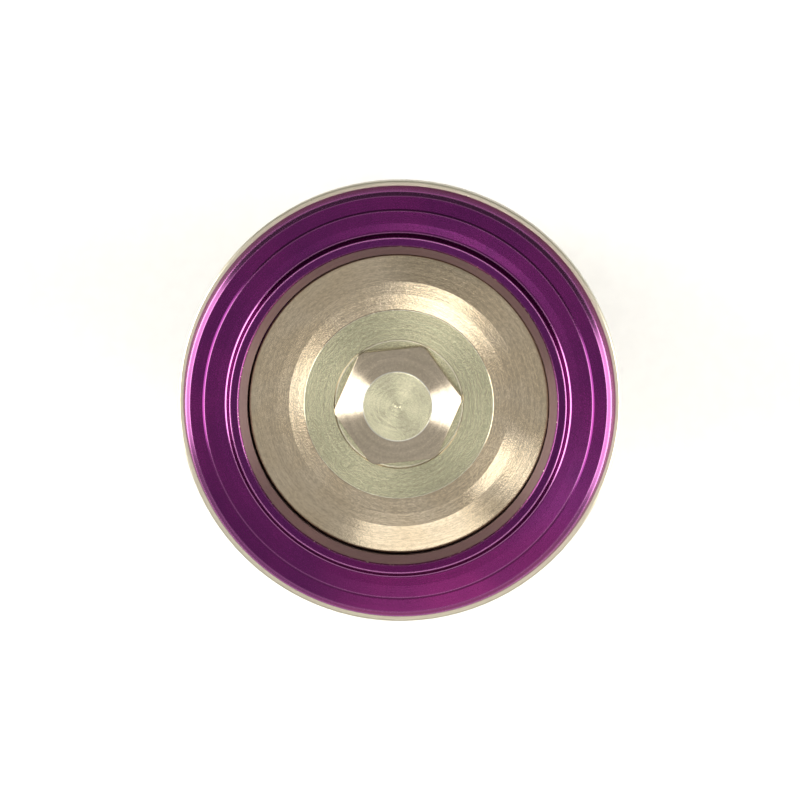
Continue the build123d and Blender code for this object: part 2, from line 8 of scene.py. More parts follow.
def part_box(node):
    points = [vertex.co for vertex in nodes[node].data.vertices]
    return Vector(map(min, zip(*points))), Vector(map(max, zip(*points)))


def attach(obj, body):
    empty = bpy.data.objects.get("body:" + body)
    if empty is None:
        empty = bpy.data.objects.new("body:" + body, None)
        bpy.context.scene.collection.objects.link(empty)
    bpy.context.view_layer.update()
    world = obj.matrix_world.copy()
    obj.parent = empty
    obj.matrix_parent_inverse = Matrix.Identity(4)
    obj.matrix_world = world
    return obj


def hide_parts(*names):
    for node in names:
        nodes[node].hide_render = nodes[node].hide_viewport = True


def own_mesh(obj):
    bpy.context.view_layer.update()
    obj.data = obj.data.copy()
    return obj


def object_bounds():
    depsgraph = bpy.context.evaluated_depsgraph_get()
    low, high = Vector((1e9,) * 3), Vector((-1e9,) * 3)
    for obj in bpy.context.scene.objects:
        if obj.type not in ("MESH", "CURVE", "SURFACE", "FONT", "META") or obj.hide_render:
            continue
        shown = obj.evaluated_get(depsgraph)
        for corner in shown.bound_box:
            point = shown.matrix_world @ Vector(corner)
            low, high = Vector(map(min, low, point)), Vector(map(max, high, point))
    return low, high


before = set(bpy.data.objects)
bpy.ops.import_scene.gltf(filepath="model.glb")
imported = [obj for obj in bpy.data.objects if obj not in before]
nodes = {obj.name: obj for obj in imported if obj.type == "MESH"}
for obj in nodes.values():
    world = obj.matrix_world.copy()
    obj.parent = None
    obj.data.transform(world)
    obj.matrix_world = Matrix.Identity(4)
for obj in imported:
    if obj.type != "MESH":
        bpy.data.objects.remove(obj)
cadLow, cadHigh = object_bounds()
mm = 0.001
print("frame loaded,", len(nodes), "nodes")


# places read from the frame, in millimetres
def topOf(name):
    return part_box(name)[1].z / mm


def bottomOf(name):
    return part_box(name)[0].z / mm


def radiusOf(name):
    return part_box(name)[1].x / mm


# small helpers for node trees
def addNode(tree, kind, inputs=None, **settings):
    made = tree.nodes.new("ShaderNode" + kind)
    for name, value in settings.items():
        setattr(made, name, value)
    for name, value in (inputs or {}).items():
        plug(tree, made.inputs[name], value)
    return made


def plug(tree, socket, value):
    if isinstance(value, bpy.types.NodeSocket):
        tree.links.new(value, socket)
    else:
        socket.default_value = value


def calc(tree, operation, first, second=0.0):
    made = tree.nodes.new("ShaderNodeMath")
    made.operation = operation
    for socket, value in zip(made.inputs, (first, second)):
        plug(tree, socket, value)
    return made.outputs[0]


def plus(tree, first, second):
    return calc(tree, "ADD", first, second)


def times(tree, first, second):
    return calc(tree, "MULTIPLY", first, second)


def flatLength(tree, x, y):
    return calc(tree, "SQRT", plus(tree, times(tree, x, x), times(tree, y, y)))


def remap(tree, value, low, high, toLow=0.0, toHigh=1.0):
    made = addNode(tree, "MapRange", {
        "Value": value, "From Min": low, "From Max": high, "To Min": toLow, "To Max": toHigh,
    }, interpolation_type="SMOOTHSTEP")
    return made.outputs[0]


def mixColour(tree, share, first, second, blend="MIX"):
    made = tree.nodes.new("ShaderNodeMix")
    made.data_type = "RGBA"
    made.blend_type = blend
    plug(tree, made.inputs[0], share)
    plug(tree, made.inputs[6], first)
    plug(tree, made.inputs[7], second)
    return made.outputs[2]


def colour(red, green, blue):
    return (red, green, blue, 1.0)


# where a point is: its place, and its distance from the axis
def axisPlace(tree):
    place = addNode(tree, "TexCoord").outputs["Object"]
    x, y, z = addNode(tree, "SeparateXYZ", {"Vector": place}).outputs
    return {"place": place, "x": x, "y": y, "z": z, "radius": flatLength(tree, x, y)}


noiseSpan = (0.3, 0.7)  # most of a noise lies between these
leastRadius = 1e-5  # metres, keeps the axis itself out of a division
heightShare = 1.37  # how fast streaks change up a wall, against across a flat


def turnedNoise(tree, at, pitch, length, detail=2.0):
    # streaks round the axis: pitch apart in metres, and as long as this many radii
    safeRadius = calc(tree, "MAXIMUM", at["radius"], leastRadius)
    across = plus(tree, at["radius"], times(tree, at["z"], heightShare))
    vector = addNode(tree, "CombineXYZ", {
        "X": calc(tree, "DIVIDE", calc(tree, "DIVIDE", at["x"], safeRadius), length),
        "Y": calc(tree, "DIVIDE", calc(tree, "DIVIDE", at["y"], safeRadius), length),
        "Z": calc(tree, "DIVIDE", across, pitch),
    })
    noise = addNode(tree, "TexNoise", {"Vector": vector.outputs[0], "Scale": 1.0, "Detail": detail})
    return noise.outputs["Fac"]


def grainNoise(tree, at, size, detail=3.0, offset=0.0):
    moved = addNode(tree, "VectorMath", {0: at["place"], 1: (offset, offset, offset)}, operation="ADD")
    noise = addNode(tree, "TexNoise", {
        "Vector": moved.outputs[0], "Scale": 1.0 / size, "Detail": detail,
    })
    return noise.outputs["Fac"]


def newMaterial(name, **constants):
    material = bpy.data.materials.new(name)
    material.use_nodes = True
    tree = material.node_tree
    shader = tree.nodes["Principled BSDF"]
    for socket, value in constants.items():
        shader.inputs[socket.replace("_", " ")].default_value = value
    return material, tree, shader


def bump(tree, shader, height, strength, distance, below=None):
    made = addNode(tree, "Bump", {"Height": height, "Strength": strength, "Distance": distance})
    if below is not None:
        tree.links.new(below, made.inputs["Normal"])
    tree.links.new(made.outputs[0], shader.inputs["Normal"])
    return made.outputs[0]


# the grain runs round the axis, so the tangent does too
def turnTangent(tree, shader):
    tangent = addNode(tree, "Tangent", direction_type="RADIAL", axis="Z")
    tree.links.new(tangent.outputs[0], shader.inputs["Tangent"])


# a band of radii in millimetres: 1 inside, 0 outside
def bandOf(tree, at, low, high):
    return times(tree, calc(tree, "GREATER_THAN", at["radius"], low * mm),
                 calc(tree, "LESS_THAN", at["radius"], high * mm))


def shade(tree, base, level):
    return addNode(tree, "VectorMath", {0: base, "Scale": level}, operation="SCALE").outputs[0]


# turned metal, plated or bare: streaks, flecks and rings that run round the axis
metalGrain = {
    "broadPitch": 7.0,  # broad patches, against the fine streaks
    "broadLength": 3.0,
    "stainSize": 0.006,
    "stainSpan": (0.35, 0.7),
    "fleckSpan": (0.25, 0.75),
    "ringPitch": 0.00030,
    "ringLength": 6.0,
    "bumpHeight": 0.00002,
}


def turnedMetal(name, look):
    material, tree, shader = newMaterial(
        name, Metallic=look["metallic"], Anisotropic=look["anisotropy"], Anisotropic_Rotation=0.25)
    at = axisPlace(tree)
    pitch, length = look["streakPitch"], look["streakLength"]
    fine = turnedNoise(tree, at, pitch, length, 3.0)
    broad = turnedNoise(tree, at, pitch * metalGrain["broadPitch"], length * metalGrain["broadLength"])
    grain = grainNoise(tree, at, look["grainSize"])
    fleck = turnedNoise(tree, at, look["fleckPitch"], look["fleckLength"], 1.0)
    ringed = turnedNoise(tree, at, metalGrain["ringPitch"], metalGrain["ringLength"])
    stain = grainNoise(tree, at, metalGrain["stainSize"], 2.0, 0.3)
    stained = remap(tree, stain, *metalGrain["stainSpan"])
    base = mixColour(tree, stained, look["colour"], look["stainColour"])
    zones = [(bandOf(tree, at, zone["from"], zone["to"]), zone) for zone in look.get("zones", ())]
    # zone colours by radius: painted highlights along edges and painted reflections on faced flats
    for inside, zone in zones:
        base = mixColour(tree, inside, base, zone["colour"])
    dark = plus(tree, times(tree, fine, 0.5), times(tree, grain, 0.5))
    streaked = remap(tree, dark, *noiseSpan, look["streakDepth"], 0.0)
    base = mixColour(tree, streaked, base, look["streakColour"])
    for noise, span, depth in (
        (fleck, metalGrain["fleckSpan"], look["fleckDepth"]),
        (ringed, noiseSpan, look["ringDepth"]),
    ):
        base = shade(tree, base, remap(tree, noise, *span, 1.0 - depth, 1.0 + depth))
    tree.links.new(base, shader.inputs["Base Color"])
    rough = plus(tree, times(tree, broad, 0.5), times(tree, grain, 0.5))
    level = remap(tree, rough, *noiseSpan, *look["roughness"])
    for inside, zone in zones:
        if "rougher" in zone:
            level = plus(tree, level, times(tree, inside, zone["rougher"]))
    tree.links.new(level, shader.inputs["Roughness"])
    turnTangent(tree, shader)
    rings = bump(tree, shader, fine, look["ringBump"], metalGrain["bumpHeight"])
    bump(tree, shader, grain, look["grainBump"], metalGrain["bumpHeight"], rings)
    return material


# the head disc
satinNickel = {
    "ringDepth": 0.05,
    "metallic": 1.0,
    "colour": colour(0.73, 0.60, 0.42),
    "stainColour": colour(0.77, 0.65, 0.48),
    "streakColour": colour(0.44, 0.36, 0.24),
    "streakDepth": 0.35,
    "streakPitch": 0.00009,
    "streakLength": 0.35,
    "grainSize": 0.00022,
    "roughness": (0.10, 0.155),
    "anisotropy": 0.75,
    "ringBump": 0.15,
    "grainBump": 0.20,
    "fleckPitch": 0.00014,
    "fleckLength": 0.035,
    "fleckDepth": 0.10,
    "zones": [
        # greenish tint on the faced flat inside the boss edge: painted reflection of the space overhead
        {"from": 0.0, "to": 11.70, "colour": colour(0.57, 0.56, 0.38), "rougher": 0.06},
        # pale cream line at the counterbore's edge: painted highlight
        {"from": 7.80, "to": 8.05, "colour": colour(0.90, 0.86, 0.68)},
        # pale cream line at the boss's outer edge: painted highlight
        {"from": 11.68, "to": 11.80, "colour": colour(0.92, 0.88, 0.72)},
    ],
}

# the adjuster screw
hexNickel = {
    "ringDepth": 0.05,
    "metallic": 1.0,
    "colour": colour(0.70, 0.60, 0.46),
    "stainColour": colour(0.65, 0.56, 0.42),
    "streakColour": colour(0.45, 0.37, 0.30),
    "streakDepth": 0.25,
    "streakPitch": 0.00012,
    "streakLength": 0.5,
    "grainSize": 0.0003,
    "roughness": (0.20, 0.27),
    "anisotropy": 0.7,
    "ringBump": 0.12,
    "grainBump": 0.08,
    "fleckPitch": 0.00018,
    "fleckLength": 0.03,
    "fleckDepth": 0.06,
    "zones": [
        # pale greenish tint on the hex head's top flat: painted reflection of the space overhead
        {"from": 0.0, "to": 4.24, "colour": colour(0.80, 0.775, 0.54), "rougher": -0.05},
        # pale cream line round the edge of the top flat: painted highlight
        {"from": 4.22, "to": 4.36, "colour": colour(0.95, 0.92, 0.78)},
    ],
}

# the housing
flangeNickel = {
    "ringDepth": 0.02,
    "metallic": 1.0,
    "colour": colour(0.88, 0.82, 0.64),
    "stainColour": colour(0.84, 0.78, 0.60),
    "streakColour": colour(0.52, 0.48, 0.38),
    "streakDepth": 0.08,
    "streakPitch": 0.00014,
    "streakLength": 4.0,
    "grainSize": 0.0004,
    "roughness": (0.26, 0.34),
    "anisotropy": 0.5,
    "ringBump": 0.01,
    "grainBump": 0.0,
    "fleckPitch": 0.0002,
    "fleckLength": 0.03,
    "fleckDepth": 0.02,
}

# the sleeve in the purple ring: its dark purple-brown colour is a painted reflection of the purple ring
bevelPaintedReflection = {
    "ringDepth": 0.06,
    "metallic": 0.35,
    "colour": colour(0.145, 0.080, 0.080),
    "stainColour": colour(0.130, 0.074, 0.075),
    "streakColour": colour(0.16, 0.11, 0.10),
    "streakDepth": 0.4,
    "streakPitch": 0.0001,
    "streakLength": 0.4,
    "grainSize": 0.00025,
    "roughness": (0.30, 0.38),
    "anisotropy": 0.4,
    "ringBump": 0.15,
    "grainBump": 0.15,
    "fleckPitch": 0.00016,
    "fleckLength": 0.03,
    "fleckDepth": 0.08,
}

# the riser tube and the nozzle
tubeMetal = {
    "ringDepth": 0.06,
    "metallic": 1.0,
    "colour": colour(0.66, 0.62, 0.53),
    "stainColour": colour(0.61, 0.57, 0.48),
    "streakColour": colour(0.45, 0.41, 0.34),
    "streakDepth": 0.3,
    "streakPitch": 0.00012,
    "streakLength": 0.8,
    "grainSize": 0.0004,
    "roughness": (0.22, 0.32),
    "anisotropy": 0.6,
    "ringBump": 0.12,
    "grainBump": 0.06,
    "fleckPitch": 0.0002,
    "fleckLength": 0.03,
    "fleckDepth": 0.1,
}

# washers, clips, screens and the spring
stainlessSteel = {
    "ringDepth": 0.05,
    "metallic": 1.0,
    "colour": colour(0.60, 0.60, 0.58),
    "stainColour": colour(0.56, 0.56, 0.54),
    "streakColour": colour(0.42, 0.42, 0.41),
    "streakDepth": 0.3,
    "streakPitch": 0.00015,
    "streakLength": 1.0,
    "grainSize": 0.0004,
    "roughness": (0.28, 0.4),
    "anisotropy": 0.3,
    "ringBump": 0.1,
    "grainBump": 0.1,
    "fleckPitch": 0.0002,
    "fleckLength": 0.03,
    "fleckDepth": 0.1,
}


# purple anodised aluminium: dyed oxide over turned metal
purpleLook = {
    "colour": colour(0.187, 0.015, 0.149),
    "deepColour": colour(0.126, 0.010, 0.116),
    # lighter pink for the lines along the turned edges: painted highlight
    "edgeHighlightColour": colour(0.66, 0.25, 0.56),
    "grazingColour": colour(0.60, 0.07, 0.50),
    # a brighter, redder multiplier for the lower-right side: painted light
    "paintedLitColour": colour(1.40, 1.15, 1.08),
    "paintedEdgeHighlights": [
        (19.90, 0.3), (20.84, 0.9), (21.42, 0.9),
        (24.08, 0.35), (25.93, 0.4), (26.44, 0.9),
    ],
    # painted shade on the land inside the step, painted highlight on the outer chamfer
    "paintedShadeAndHighlightBands": [
        {"from": 19.93, "to": 20.78, "colour": colour(0.082, 0.003, 0.080)},
        {"from": 25.95, "to": 26.40, "colour": colour(0.25, 0.075, 0.215)},
    ],
    "bareColour": colour(0.75, 0.66, 0.55),
    "streakPitch": 0.00011,
    "streakLength": 0.45,
    "grainSize": 0.00016,
    "roughness": (0.20, 0.28),
    "anisotropy": 0.35,
    "coatWeight": 0.22,
    "coatRoughness": 0.2,
    "coatIor": 1.6,
    "cloudSize": 0.009,
    "mottleSpan": (0.35, 0.65),
    "mottleDepth": 0.35,
    "paintedLitSide": {"y": (-0.012, -0.020), "x": (-0.014, -0.003)},
    "edgeHighlightReach": (0.00011, 0.00003),
    "speckSize": 0.00030,
    "speckBand": 0.22,
    "speckEdge": 0.02,
    "speckLevel": 0.69,
    "ringBump": 0.12,
    "grainBump": 0.14,
    "bumpHeight": 0.00002,
}


def purpleAnodised(look):
    material, tree, shader = newMaterial(
        "purpleAnodised", Metallic=1.0, Anisotropic=look["anisotropy"], Anisotropic_Rotation=0.25,
        Coat_Weight=look["coatWeight"], Coat_Roughness=look["coatRoughness"], Coat_IOR=look["coatIor"],
        Specular_Tint=look["grazingColour"])
    at = axisPlace(tree)
    fine = turnedNoise(tree, at, look["streakPitch"], look["streakLength"], 3.0)
    grain = grainNoise(tree, at, look["grainSize"])
    cloud = grainNoise(tree, at, look["cloudSize"], 2.0, 0.1)
    base = mixColour(tree, remap(tree, cloud, *noiseSpan), look["colour"], look["deepColour"])
    mottle = plus(tree, times(tree, fine, 0.4), times(tree, grain, 0.6))
    deeper = remap(tree, mottle, *look["mottleSpan"], look["mottleDepth"], 0.0)
    base = mixColour(tree, deeper, base, look["deepColour"])
    # painted shade darkens the flat inside the step, and a painted highlight lightens the outer chamfer
    for band in look["paintedShadeAndHighlightBands"]:
        inside = bandOf(tree, at, band["from"], band["to"])
        base = mixColour(tree, inside, base, band["colour"])
    # painted light: the lower-right side is made brighter and redder, where the lamps fall
    paintedLitSide = times(tree, *(remap(tree, at[way], *span) for way, span in look["paintedLitSide"].items()))
    base = mixColour(tree, paintedLitSide, base, look["paintedLitColour"], "MULTIPLY")
    # painted highlight: lighter pink lines round each turned edge
    for radius, share in look["paintedEdgeHighlights"]:
        offset = calc(tree, "ABSOLUTE", calc(tree, "SUBTRACT", at["radius"], radius * mm))
        paintedEdgeHighlight = remap(tree, offset, *look["edgeHighlightReach"], 0.0, share)
        base = mixColour(tree, paintedEdgeHighlight, base, look["edgeHighlightColour"])
    # a few bare specks where the bore's edge was nicked
    inner = radiusOf("guide_bush")
    outer, edge = (inner + look["speckBand"]) * mm, (inner + look["speckEdge"]) * mm
    nearBore = remap(tree, at["radius"], outer, edge)
    speck = grainNoise(tree, at, look["speckSize"], 1.0, 0.7)
    speck = times(tree, calc(tree, "GREATER_THAN", speck, look["speckLevel"]), nearBore)
    base = mixColour(tree, speck, base, look["bareColour"])
    tree.links.new(base, shader.inputs["Base Color"])
    rough = remap(tree, mottle, *look["mottleSpan"], *look["roughness"])
    tree.links.new(rough, shader.inputs["Roughness"])
    turnTangent(tree, shader)
    rings = bump(tree, shader, fine, look["ringBump"], look["bumpHeight"])
    bump(tree, shader, grain, look["grainBump"], look["bumpHeight"], rings)
    return material


# rubber and moulded plastic
mouldedGrain = {
    "grainSize": 0.00035,
    "dustSize": 0.004,
    "dustSpan": (0.4, 0.7),
    "bump": 0.2,
    "bumpHeight": 0.00003,
}

rubberLook = {
    "colour": colour(0.018, 0.018, 0.019),
    "dustColour": colour(0.05, 0.05, 0.05),
    "roughness": (0.55, 0.75),
}

acetalLook = {
    "colour": colour(0.030, 0.031, 0.034),
    "dustColour": colour(0.045, 0.046, 0.05),
    "roughness": (0.38, 0.5),
}


def mouldedMaterial(name, look):
    material, tree, shader = newMaterial(name, Metallic=0.0)
    at = axisPlace(tree)
    grain = grainNoise(tree, at, mouldedGrain["grainSize"])
    dust = grainNoise(tree, at, mouldedGrain["dustSize"], 2.0, 0.5)
    dusty = remap(tree, dust, *mouldedGrain["dustSpan"])
    base = mixColour(tree, dusty, look["colour"], look["dustColour"])
    tree.links.new(base, shader.inputs["Base Color"])
    rough = remap(tree, grain, *noiseSpan, *look["roughness"])
    tree.links.new(rough, shader.inputs["Roughness"])
    bump(tree, shader, grain, mouldedGrain["bump"], mouldedGrain["bumpHeight"])
    return material


finishes = {
    "satinNickel": turnedMetal("satinNickel", satinNickel),
    "hexNickel": turnedMetal("hexNickel", hexNickel),
    "flangeNickel": turnedMetal("flangeNickel", flangeNickel),
    "bevelPaintedReflection": turnedMetal("bevelPaintedReflection", bevelPaintedReflection),
    "tubeMetal": turnedMetal("tubeMetal", tubeMetal),
    "stainlessSteel": turnedMetal("stainlessSteel", stainlessSteel),
    "purpleAnodised": purpleAnodised(purpleLook),
    "blackRubber": mouldedMaterial("blackRubber", rubberLook),
    "acetal": mouldedMaterial("acetal", acetalLook),
}
print("materials made,", len(finishes))

nodesOfFinish = {
    "flangeNickel": ["housing"],
    "tubeMetal": ["riser_tube", "nozzle_seat"],
    "stainlessSteel": [
        "inlet_screen", "screen_ring", "upper_spring_seat", "seat_circlip",
        "lower_spring_seat", "seal_washer", "seal_screw", "stem_clip",
    ],
    "blackRubber": ["wiper_seal", "cap_o_ring", "check_seal", "nozzle_o_ring", "stem_o_ring"],
    "acetal": ["riser_foot", "filter_screen", "throttle_plug", "throttle_cage"],
}
for finish, names in nodesOfFinish.items():
    for name in names:
        for slot in nodes[name].material_slots:
            slot.material = finishes[finish]
print("finishes set on", sum(len(names) for names in nodesOfFinish.values()), "nodes")


# mesh helpers, all in millimetres
cornerRound = {"leastTurn": 0.02, "mostReach": 0.45, "stepAngle": 12.0}


def roundCorners(outline):
    # corners are (radius, height) or (radius, height, round)
    # returns points, each with whether it is a sharp corner
    points = []
    count = len(outline)
    for index, corner in enumerate(outline):
        here = Vector(corner[:2])
        size = corner[2] if len(corner) > 2 else 0.0
        back = Vector(outline[index - 1][:2]) - here
        on = Vector(outline[(index + 1) % count][:2]) - here
        turn = math.pi - back.angle(on)
        if size <= 0.0 or turn < cornerRound["leastTurn"]:
            points.append((here, turn > cornerRound["leastTurn"]))
            continue
        reach = size * math.tan(turn / 2.0)
        reach = min(reach, cornerRound["mostReach"] * back.length, cornerRound["mostReach"] * on.length)
        size = reach / math.tan(turn / 2.0)
        start = here + back.normalized() * reach
        middle = (back.normalized() + on.normalized()).normalized()
        centre = here + middle * (size / math.cos(turn / 2.0))
        arm = start - centre
        side = 1.0 if back.x * on.y - back.y * on.x < 0.0 else -1.0
        steps = max(2, math.ceil(math.degrees(turn) / cornerRound["stepAngle"]))
        for step in range(steps + 1):
            angle = side * turn * step / steps
            spun = Vector((arm.x * math.cos(angle) - arm.y * math.sin(angle),
                           arm.x * math.sin(angle) + arm.y * math.cos(angle)))
            points.append((centre + spun, False))
    return points


faceSupport = {"longFace": 0.12, "inset": 0.03, "mostShare": 0.2}


def addSupports(points):
    # an extra ring just inside each rounded end of a long face keeps that face's shading flat
    made = []
    for index, (here, sharp) in enumerate(points):
        made.append((here, sharp))
        there, nextSharp = points[(index + 1) % len(points)]
        gap = there - here
        if gap.length > faceSupport["longFace"]:
            step = gap.normalized() * min(faceSupport["inset"], gap.length * faceSupport["mostShare"])
            if not sharp:
                made.append((here + step, False))
            if not nextSharp:
                made.append((there - step, False))
    return made


def finishMesh(name, work, finish, sharpAngle=None):
    bmesh.ops.recalc_face_normals(work, faces=work.faces)
    for face in work.faces:
        face.smooth = True
    mesh = bpy.data.meshes.new(name)
    work.to_mesh(mesh)
    work.free()
    if sharpAngle is not None:
        mesh.set_sharp_from_angle(angle=math.radians(sharpAngle))
    piece = bpy.data.objects.new(name, mesh)
    bpy.context.scene.collection.objects.link(piece)
    mesh.materials.append(finishes[finish])
    return piece


roundSteps = 384  # faces round the pieces that show at the top
stemSteps = 96
tubeSharpAngle = 35.0


def turnPiece(name, outline, finish, steps=roundSteps):
    # spins a closed outline round the axis
    points = addSupports(roundCorners(outline))
    work = bmesh.new()
    rings = []
    for point, _ in points:
        if point.x < 1e-6:
            rings.append([work.verts.new((0.0, 0.0, point.y * mm))])
            continue
        ring = []
        for step in range(steps):
            angle = 2.0 * math.pi * step / steps
            x, y = point.x * math.cos(angle), point.x * math.sin(angle)
            ring.append(work.verts.new((x * mm, y * mm, point.y * mm)))
        rings.append(ring)
    for index, ring in enumerate(rings):
        following = rings[(index + 1) % len(rings)]
        for step in range(steps):
            corners = [ring[step % len(ring)], ring[(step + 1) % len(ring)],
                       following[(step + 1) % len(following)], following[step % len(following)]]
            corners = list(dict.fromkeys(corners))
            if len(corners) > 2:
                work.faces.new(corners)
    for ring, (_, sharp) in zip(rings, points):
        if sharp and len(ring) > 1:
            for step in range(steps):
                edge = work.edges.get((ring[step], ring[(step + 1) % steps]))
                if edge:
                    edge.smooth = False
    return finishMesh(name, work, finish)


def tubeAlong(name, path, section, finish):
    # joins one section, a list of (out, up) offsets, at each (radius, angle, height, scale) of a path
    work = bmesh.new()
    loops = []
    for radius, angle, height, scale in path:
        loop = []
        for out, up in section:
            reach = radius + out * scale
            loop.append(work.verts.new((reach * math.cos(angle) * mm, reach * math.sin(angle) * mm,
                                        (height + up * scale) * mm)))
        loops.append(loop)
    size = len(section)
    for first, second in zip(loops, loops[1:]):
        for corner in range(size):
            work.faces.new((first[corner], first[(corner + 1) % size],
                            second[(corner + 1) % size], second[corner]))
    work.faces.new(loops[0])
    work.faces.new(list(reversed(loops[-1])))
    return finishMesh(name, work, finish, tubeSharpAngle)


ridgeShape = {
    "perTurn": 72,
    "halfWidth": 0.44,  # of the pitch
    "rootSink": 0.05,
    "crestHeight": 0.92,  # of the depth, where the crest starts to round
    "crestWidth": 0.2,
    "fadeTurns": 0.4,
    "fadedSize": 0.05,
}


def threadRidge(name, thread, finish):
    # one helical ridge, rooted a little inside the wall it stands on, fading out at both ends
    turns = (thread["to"] - thread["from"]) / thread["pitch"]
    count = math.ceil(turns * ridgeShape["perTurn"])
    side = -1.0 if thread["inward"] else 1.0
    half = thread["pitch"] * ridgeShape["halfWidth"]
    crest = half * ridgeShape["crestWidth"]
    tip = side * thread["depth"]
    root, shoulder = -side * ridgeShape["rootSink"], tip * ridgeShape["crestHeight"]
    section = [(root, -half), (shoulder, -crest), (tip, 0.0), (shoulder, crest), (root, half)]
    path = []
    for step in range(count + 1):
        share = step / count
        fade = min(1.0, share * turns / ridgeShape["fadeTurns"],
                   (1.0 - share) * turns / ridgeShape["fadeTurns"])
        height = thread["from"] + (thread["to"] - thread["from"]) * share
        path.append((thread["radius"], 2.0 * math.pi * turns * share, height,
                     max(fade, ridgeShape["fadedSize"])))
    return tubeAlong(name, path, section, finish)


# cap ring: the crown goes outwards from its inner edge, as (width, drop, edge round)
capRing = {
    "innerRadius": radiusOf("guide_bush"),
    "crown": [
        (0.18, -0.18, 0.05),
        (0.97, 0.0, 0.14),
        (0.43, 1.60, 0.45),
        (1.25, 0.087, 0.0),
        (1.48, 0.169, 0.05),
        (0.25, 0.22, 0.05),
        (1.60, 0.216, 0.10),
        (0.50, 0.62, 0.03),
        (0.06, 0.02, 0.03),
        (0.43, 3.844, 0.08),
    ],
    "innerRound": 0.03,
    "webGap": 0.05,
    "webThickness": 2.5,
    "webHole": 13.6,
    "recessRadius": 18.6,
    "grooveRadius": 19.45,
    "grooveHeight": 1.1,
    "grooveDrop": 0.95,
    "skirtRadius": 21.9,
    "skirtChamfer": 0.8,
    "hiddenRound": 0.1,
    "threadDepth": 0.6,
    "threadPitch": 1.5,
    "threadStart": 1.2,
    "threadEnd": 2.2,
}


def makeCapRing(size):
    webTop = bottomOf("guide_bush") - size["webGap"]
    webBottom = webTop - size["webThickness"]
    bottom = bottomOf("cap_ring")
    root = size["skirtRadius"] - size["threadDepth"]
    recess, soft = size["recessRadius"], size["hiddenRound"]
    # the first step up of the crown ends at the ring's top
    radius, height = size["innerRadius"], topOf("cap_ring") + size["crown"][0][1]
    outline = [(radius, webTop), (radius, height, size["innerRound"])]
    for width, drop, edge in size["crown"]:
        radius, height = radius + width, height - drop
        outline.append((radius, height, edge))
    groove = topOf("upper_spring_seat") - size["grooveDrop"]
    grooveLow = groove - size["grooveHeight"]
    outline += [
        (root, height),
        (root, bottom + size["skirtChamfer"], soft),
        (root - size["skirtChamfer"], bottom, soft),
        (recess, bottom, soft),
        (recess, grooveLow),
        (size["grooveRadius"], grooveLow),
        (size["grooveRadius"], groove),
        (recess, groove),
        (recess, webBottom),
        (size["webHole"], webBottom, soft),
        (size["webHole"], webTop, soft),
    ]
    piece = turnPiece("capRing", outline, "purpleAnodised")
    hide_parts("cap_ring")
    thread = threadRidge("capThread", {
        "radius": root, "depth": size["threadDepth"], "pitch": size["threadPitch"], "inward": False,
        "from": bottom + size["threadStart"], "to": height - size["threadEnd"],
    }, "purpleAnodised")
    for made in (piece, thread):
        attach(made, "housing")


makeCapRing(capRing)


# guide bush: plain sleeve whose bevel shows inside the purple edge
guideBush = {"wall": 1.0, "bevelDrop": 1.05, "outerRound": 0.02, "innerRound": 0.05}


def makeGuideBush(size):
    outer = radiusOf("guide_bush")
    inner = outer - size["wall"]
    low, high = bottomOf("guide_bush"), topOf("guide_bush")
    piece = turnPiece("guideBush", [
        (inner, low),
        (outer, low),
        (outer, high, size["outerRound"]),
        (inner, high - size["bevelDrop"], size["innerRound"]),
    ], "bevelPaintedReflection")
    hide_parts("guide_bush")
    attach(piece, "housing")


makeGuideBush(guideBush)


# deflector: zones go inwards from the rim, as (outer radius, slope in degrees)
deflectorDisc = {
    "rimRound": 0.15,
    "lipRound": 0.2,
    "zones": [(18.59, 8.5), (15.25, 5.0), (13.66, 2.0)],
    "bossRadius": 11.75,
    "bossStep": 0.05,
    "bossRise": 0.12,
    "bossRound": 0.06,
    "bossFootRound": 0.02,
    "counterboreRadius": 8.0,
    "counterboreDepth": 1.0,
    "counterboreRound": 0.07,
    "counterboreFootRound": 0.05,
    "rimHeight": 1.95,
    "sprayAngle": 12.5,
    "neckRadius": 4.3,
    "neckRound": 0.4,
    "spigotRadius": 3.2,
    "spigotLength": 1.6,
    "spigotRound": 0.1,
    "holeRadius": 2.15,
    "rest": {"right": 0.06, "up": 0.05},  # it rests to one side in its bore
}


def makeDeflector(size):
    top, low = topOf("deflector"), bottomOf("deflector")
    rim = radiusOf("deflector")
    boss, bore = size["bossRadius"], size["counterboreRadius"]
    # heights of the zone edges, worked inwards from the rim
    edges = [radius for radius, _ in size["zones"]] + [boss + size["bossStep"]]
    rises = [(outer - inner) * math.tan(math.radians(slope))
             for (outer, slope), inner in zip(size["zones"], edges[1:])]
    rimTop = top - size["bossRise"] - sum(rises)
    rimBottom = rimTop - size["rimHeight"]
    crown = [(rim, rimTop, size["rimRound"])]
    height = rimTop
    for rise, inner in zip(rises, edges[1:]):
        height += rise
        crown.append((inner, height, size["bossFootRound"] if inner == edges[-1] else 0.0))
    neckTop = rimBottom - (rim - size["neckRadius"]) * math.tan(math.radians(size["sprayAngle"]))
    neckLow = low + size["spigotLength"]
    boreFoot = top - size["counterboreDepth"]
    piece = turnPiece("deflectorDisc", [
        (size["holeRadius"], low),
        (size["spigotRadius"], low, size["spigotRound"]),
        (size["spigotRadius"], neckLow),
        (size["neckRadius"], neckLow, size["spigotRound"]),
        (size["neckRadius"], neckTop, size["neckRound"]),
        (rim, rimBottom, size["lipRound"]),
        *crown,
        (boss, top, size["bossRound"]),
        (bore, top, size["counterboreRound"]),
        (bore, boreFoot, size["counterboreFootRound"]),
        (size["holeRadius"], boreFoot),
    ], "satinNickel")
    rest = size["rest"]
    piece.matrix_world = Matrix.Translation((rest["right"] * mm, rest["up"] * mm, 0.0))
    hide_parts("deflector")
    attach(piece, "riser")


makeDeflector(deflectorDisc)


